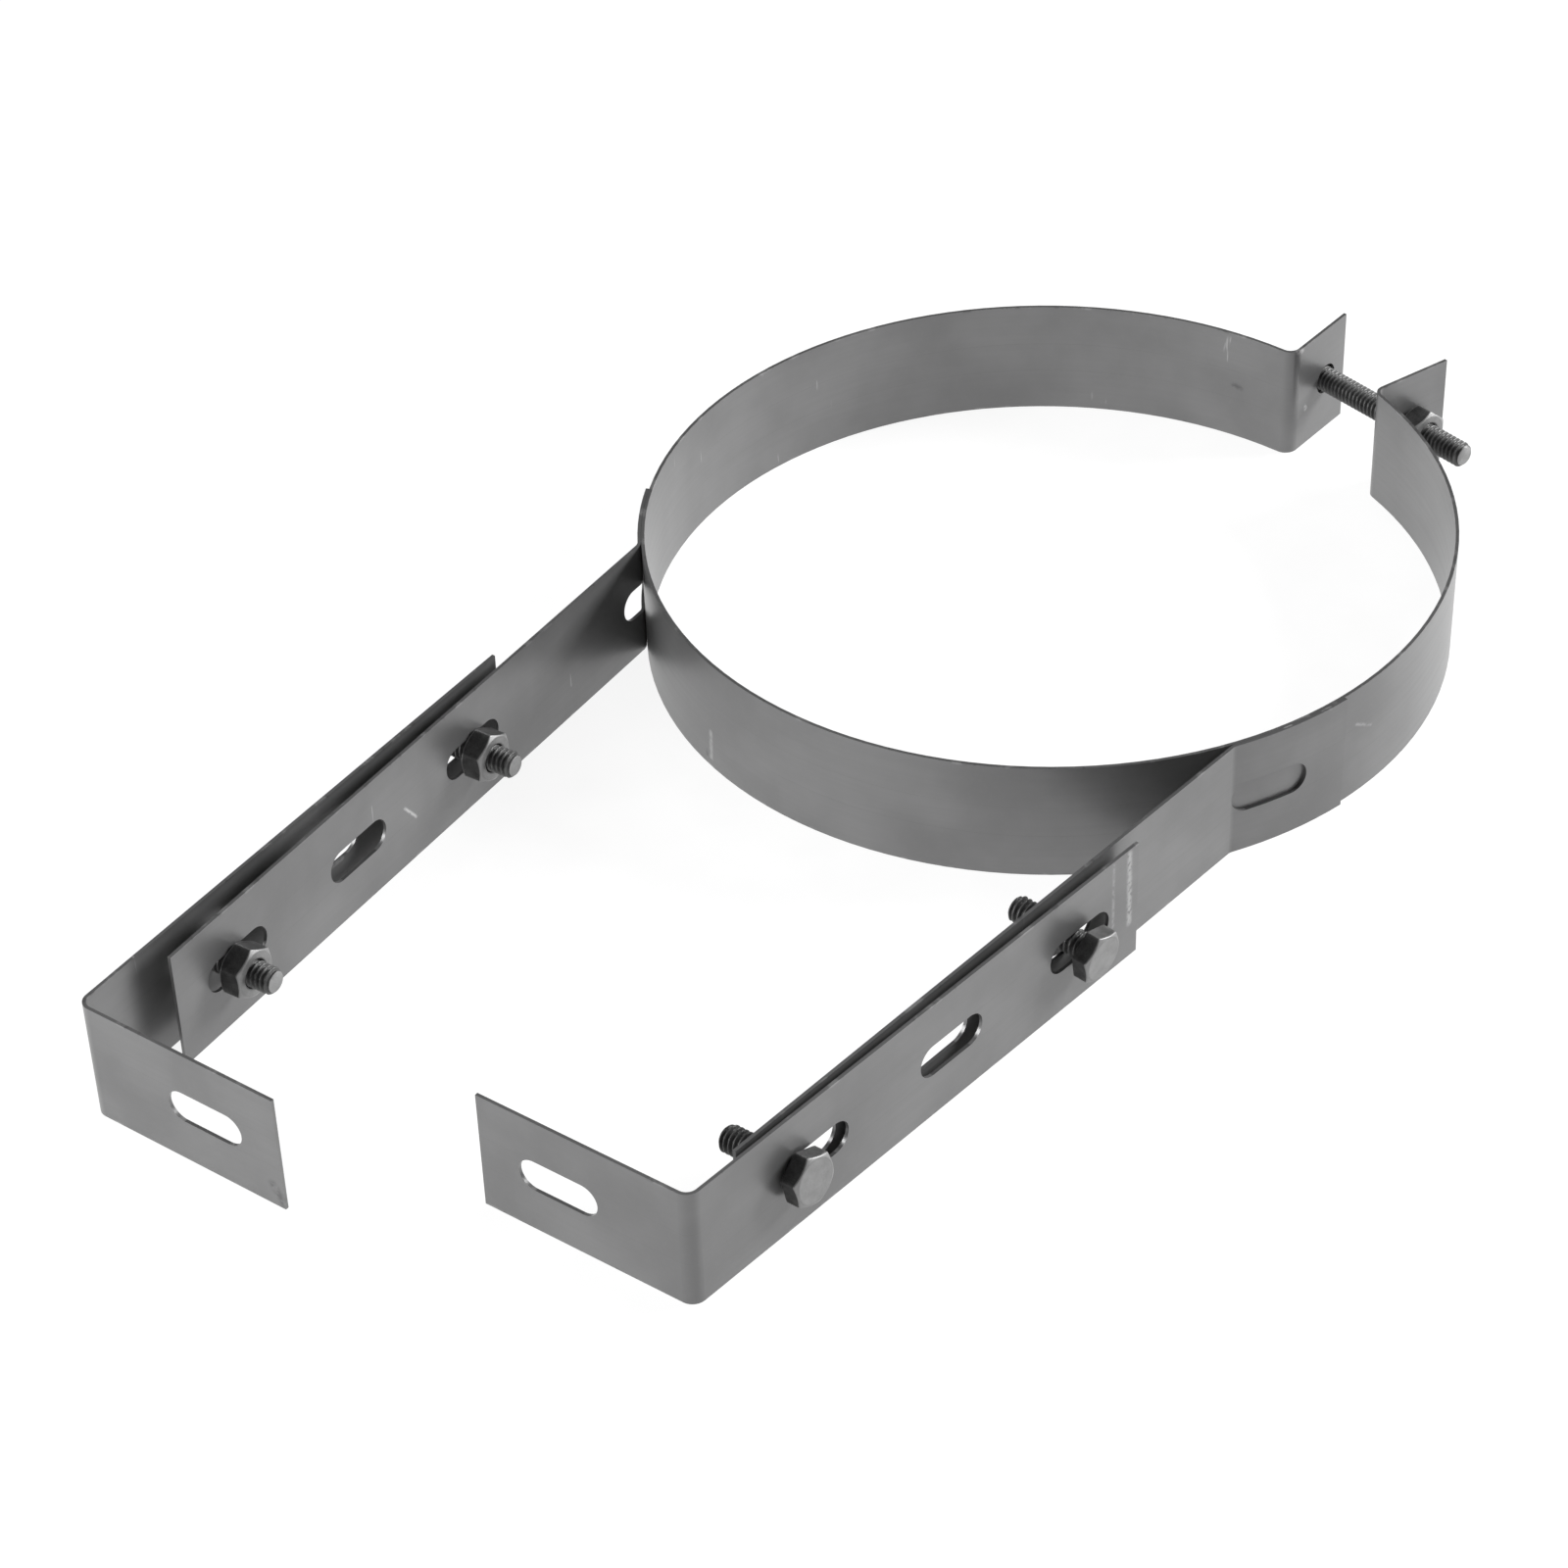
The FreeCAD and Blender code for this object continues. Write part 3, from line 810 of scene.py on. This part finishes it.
def add_camera(setup):
    """The camera on its line of sight, turned about it by the roll."""
    azimuth, elevation, roll = setup.view_azimuth, setup.view_elevation, setup.view_roll
    back = Vector((
        math.sin(azimuth) * math.cos(elevation),
        -math.cos(azimuth) * math.cos(elevation),
        math.sin(elevation),
    ))
    right = Vector((math.cos(azimuth), math.sin(azimuth), 0))
    up = back.cross(right)
    rolled_right = right * math.cos(roll) + up * math.sin(roll)
    rolled_up = up * math.cos(roll) - right * math.sin(roll)
    place = Vector(setup.view_target) + back * setup.view_distance
    lens = bpy.data.cameras.new("camera")
    lens.lens = setup.lens
    lens.sensor_width = SENSOR_WIDTH
    lens.clip_start = NEAREST_SIGHT
    camera = bpy.data.objects.new("camera", lens)
    axes = Matrix((rolled_right, rolled_up, back)).transposed().to_4x4()
    camera.matrix_world = Matrix.Translation(place) @ axes
    bpy.context.scene.collection.objects.link(camera)
    bpy.context.scene.camera = camera


class LINERCLAMP_OT_set_up_studio(bpy.types.Operator):
    """Add the pale floor, the soft lights and the camera"""

    bl_idname = "liner_clamp.set_up_studio"
    bl_label = "Set up the studio"

    def execute(self, context):
        setup = context.scene.studio_setup
        add_floor(tuple(setup.floor_tone), setup.floor_glow)
        world = bpy.data.worlds.new("studio")
        world.use_nodes = True
        background = world.node_tree.nodes["Background"]
        background.inputs["Color"].default_value = (*WHITE, 1.0)
        background.inputs["Strength"].default_value = setup.room_light
        context.scene.world = world
        add_light(*RIGHT_LIGHT, setup.right_power)
        add_light(*LEFT_LIGHT, setup.left_power)
        add_light(*TOP_LIGHT, setup.top_power)
        add_camera(setup)
        context.scene.view_settings.view_transform = "Standard"
        return {"FINISHED"}


class LINERCLAMP_PT_sidebar(bpy.types.Panel):
    bl_label = "Chimney liner clamp"
    bl_idname = "LINERCLAMP_PT_sidebar"
    bl_space_type = "VIEW_3D"
    bl_region_type = "UI"
    bl_category = "Liner Clamp"

    def draw(self, context):
        for operator in OPERATORS:
            self.layout.operator(operator.bl_idname)
        for group in (context.scene.screw_sizes, context.scene.clamp_look, context.scene.studio_setup):
            for name in group.__annotations__:
                self.layout.prop(group, name)


OPERATORS = (
    LINERCLAMP_OT_finish_strips,
    LINERCLAMP_OT_thread_bolts,
    LINERCLAMP_OT_thread_nuts,
    LINERCLAMP_OT_set_up_studio,
)
CLASSES = (ScrewSizes, ClampLook, StudioSetup, *OPERATORS, LINERCLAMP_PT_sidebar)


def register():
    for item in CLASSES:
        bpy.utils.register_class(item)
    bpy.types.Scene.screw_sizes = PointerProperty(type=ScrewSizes)
    bpy.types.Scene.clamp_look = PointerProperty(type=ClampLook)
    bpy.types.Scene.studio_setup = PointerProperty(type=StudioSetup)


def unregister():
    del bpy.types.Scene.studio_setup
    del bpy.types.Scene.clamp_look
    del bpy.types.Scene.screw_sizes
    for item in reversed(CLASSES):
        bpy.utils.unregister_class(item)


def main():
    register()
    bpy.ops.liner_clamp.finish_strips()
    bpy.ops.liner_clamp.thread_bolts()
    bpy.ops.liner_clamp.thread_nuts()
    bpy.ops.liner_clamp.set_up_studio()


if __name__ == "__main__":
    main()
